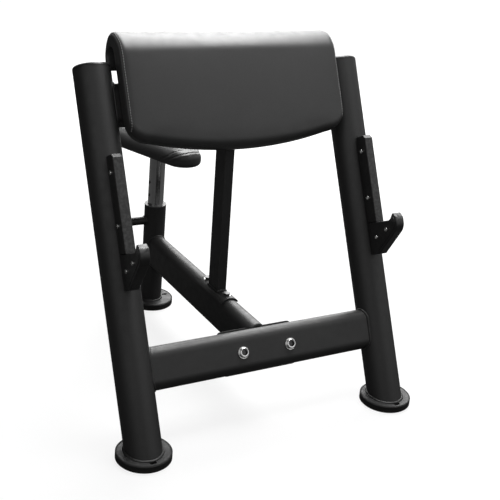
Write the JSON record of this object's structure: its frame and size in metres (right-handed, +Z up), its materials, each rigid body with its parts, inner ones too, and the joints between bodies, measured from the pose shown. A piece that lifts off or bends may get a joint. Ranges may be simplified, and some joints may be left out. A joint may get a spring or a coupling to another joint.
{
  "type": "preacher curl bench",
  "caption": "Preacher curl bench with a padded arm rest on leaning round posts, bar catches, and a padded seat that slides up and down in a rear sleeve.",
  "frame": {"origin": "on the floor, in the middle of the bench's width and depth", "axes": "+Z up, +Y from the bar catches towards the seat, +X to the right seen from the front"},
  "size_m": [0.8226, 0.9672, 0.9001],
  "materials": {
    "black_powder_coat": "fine-textured satin powder coat",
    "black_plastic": "moulded, satin",
    "black_rubber": "matte moulded rubber",
    "chrome": "bright plated",
    "zinc_steel": "zinc plated",
    "black_vinyl": "upholstery vinyl, fine grain, satin",
    "plywood": "raw birch plywood"
  },
  "bodies": {
    "frame": {"left_post": "black_powder_coat", "right_post": "black_powder_coat", "lower_crossbeam": "black_powder_coat", "upper_crossbar": "black_powder_coat", "spine": "black_powder_coat", "spine_flange": "black_powder_coat", "rear_sleeve": "black_powder_coat", "left_base_disc": "black_powder_coat", "right_base_disc": "black_powder_coat", "rear_base_disc": "black_powder_coat", "strut": "black_powder_coat", "strut_saddle": "black_powder_coat", "left_guide_plate": "black_powder_coat", "right_guide_plate": "black_powder_coat", "left_hook_plate": "black_powder_coat", "right_hook_plate": "black_powder_coat", "lock_housing": "black_powder_coat", "left_post_cap": "black_plastic", "right_post_cap": "black_plastic", "left_guide": "black_plastic", "right_guide": "black_plastic", "left_hook_liner": "black_plastic", "right_hook_liner": "black_plastic", "sleeve_bush": "black_plastic", "left_foot_pad": "black_rubber", "right_foot_pad": "black_rubber", "rear_foot_pad": "black_rubber", "flange_bolts": "chrome", "flange_washers": "chrome", "saddle_bolts": "chrome", "saddle_washers": "chrome", "flange_nuts": "zinc_steel", "pad_bolts": "zinc_steel", "pad_washers": "zinc_steel", "pad_tee_nuts": "zinc_steel", "saddle_inserts": "zinc_steel", "lock_spring": "zinc_steel", "catch_screws": "zinc_steel", "arm_pad": "black_vinyl", "pad_board": "plywood"},
    "lock": {"lock_pin": "zinc_steel", "lock_knob": "black_plastic"},
    "seat": {"seat_post": "chrome", "post_glide": "black_plastic", "seat_plate": "black_powder_coat", "seat_board": "plywood", "seat_cushion": "black_vinyl", "seat_bolts": "zinc_steel", "seat_tee_nuts": "zinc_steel"}
  },
  "joints": [
    {"name": "seat_height", "type": "slide", "parent": "frame", "child": "seat", "axis": [0, 0, 1], "range_m": [-0.12, 0.08]},
    {"name": "lock_pull", "type": "slide", "parent": "frame", "child": "lock", "axis": [1, 0, 0], "range_m": [0, 0.012], "deforming": ["lock_spring"]}
  ]
}
